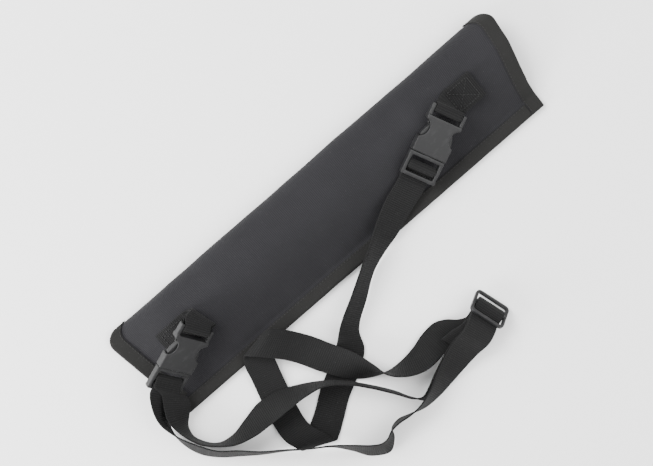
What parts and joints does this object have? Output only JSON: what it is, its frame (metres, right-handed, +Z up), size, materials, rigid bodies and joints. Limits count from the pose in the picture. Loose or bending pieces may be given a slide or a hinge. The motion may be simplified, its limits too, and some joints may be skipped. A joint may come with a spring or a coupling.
{
  "type": "telescope carry case",
  "caption": "padded soft sleeve for a telescope, open at one end, with a webbing shoulder strap held by side-release buckles and shortened by a slider",
  "frame": {"origin": "centre of the sleeve's footprint, on the surface it lies on; the loose strap beside it is not counted", "axes": "+X runs along the sleeve from its closed bottom end to its open mouth, +Y from the sewn edge to the folded edge, +Z up through the face the strap is anchored to"},
  "size_m": [0.5098, 0.2733, 0.06],
  "materials": {
    "cover_fabric": "fine-ribbed matt synthetic cloth",
    "binding_tape": "woven tape",
    "foam": "soft padding",
    "lining_fabric": "smooth matt lining",
    "webbing": "ribbed webbing",
    "thread": "stitching thread",
    "buckle_plastic": "smooth moulded, slightly glossy"
  },
  "bodies": {
    "case": {"outer_cover": "cover_fabric", "foam_padding": "foam", "lining": "lining_fabric", "side_binding": "binding_tape", "mouth_binding": "binding_tape", "bottom_binding": "binding_tape", "upper_anchor_tab": "webbing", "lower_anchor_tab": "webbing", "upper_tab_stitching": "thread", "lower_tab_stitching": "thread", "upper_strap_lead": "webbing", "strap_crossing_run": "webbing", "strap_long_run": "webbing", "slider_lead": "webbing", "slider_return_lead": "webbing", "strap_outer_run": "webbing", "strap_inner_run": "webbing", "lower_strap_lead": "webbing"},
    "upper_socket": {"upper_buckle_socket": "buckle_plastic"},
    "upper_plug": {"upper_buckle_frame": "buckle_plastic", "upper_strap_loop": "webbing"},
    "upper_left_prong": {"upper_prong_left": "buckle_plastic"},
    "upper_right_prong": {"upper_prong_right": "buckle_plastic"},
    "lower_socket": {"lower_buckle_socket": "buckle_plastic"},
    "lower_plug": {"lower_buckle_frame": "buckle_plastic", "lower_strap_loop": "webbing"},
    "lower_left_prong": {"lower_prong_left": "buckle_plastic"},
    "lower_right_prong": {"lower_prong_right": "buckle_plastic"},
    "slider": {"strap_slider": "buckle_plastic", "slider_webbing": "webbing", "strap_sewn_end": "webbing"}
  },
  "joints": [
    {"name": "upper_swing", "type": "hinge", "parent": "case", "child": "upper_socket", "pos_m": [0.1533, 0.0005, 0.03717], "axis": [-0.4208, 0.8483, 0.3216], "range_deg": [0, 15], "deforming": ["upper_strap_lead", "strap_crossing_run"]},
    {"name": "upper_unclip", "type": "slide", "parent": "upper_socket", "child": "upper_plug", "axis": [-0.9071, -0.3907, -0.1564], "range_m": [0, 0.032], "deforming": ["upper_strap_lead", "upper_prong_left", "upper_prong_right"]},
    {"name": "upper_prong_left_press", "type": "hinge", "parent": "upper_plug", "child": "upper_left_prong", "pos_m": [0.11711, -0.02641, 0.0266], "axis": [-0.0071, -0.3575, 0.9339], "range_deg": [0, 11], "stiffness_Nm_per_rad": 0.08},
    {"name": "upper_prong_right_press", "type": "hinge", "parent": "upper_plug", "child": "upper_right_prong", "pos_m": [0.10785, -0.00775, 0.03367], "axis": [0.0071, 0.3575, -0.9339], "range_deg": [0, 11], "stiffness_Nm_per_rad": 0.08},
    {"name": "lower_swing", "type": "hinge", "parent": "case", "child": "lower_socket", "pos_m": [-0.1707, 0.0021, 0.045], "axis": [-0.4072, 0.6932, 0.5947], "range_deg": [0, 15], "deforming": ["lower_strap_lead", "strap_outer_run", "strap_inner_run"]},
    {"name": "lower_unclip", "type": "slide", "parent": "lower_socket", "child": "lower_plug", "axis": [-0.9133, -0.3145, -0.2588], "range_m": [0, 0.032], "deforming": ["lower_strap_lead", "lower_prong_left", "lower_prong_right"]},
    {"name": "lower_prong_left_press", "type": "hinge", "parent": "lower_plug", "child": "lower_left_prong", "pos_m": [-0.20732, -0.01968, 0.02681], "axis": [0.0076, -0.6485, 0.7612], "range_deg": [0, 11], "stiffness_Nm_per_rad": 0.08},
    {"name": "lower_prong_right_press", "type": "hinge", "parent": "lower_plug", "child": "lower_right_prong", "pos_m": [-0.21628, -0.00443, 0.03989], "axis": [-0.0076, 0.6485, -0.7612], "range_deg": [0, 11], "stiffness_Nm_per_rad": 0.08},
    {"name": "slider_slide", "type": "slide", "parent": "case", "child": "slider", "axis": [-0.9581, -0.2863, 0], "range_m": [0, 0.006], "deforming": ["slider_lead", "slider_return_lead"]}
  ],
  "couplings": [
    {"joint": "upper_prong_right_press", "follows": "upper_prong_left_press", "ratio": 1},
    {"joint": "lower_prong_right_press", "follows": "lower_prong_left_press", "ratio": 1}
  ]
}
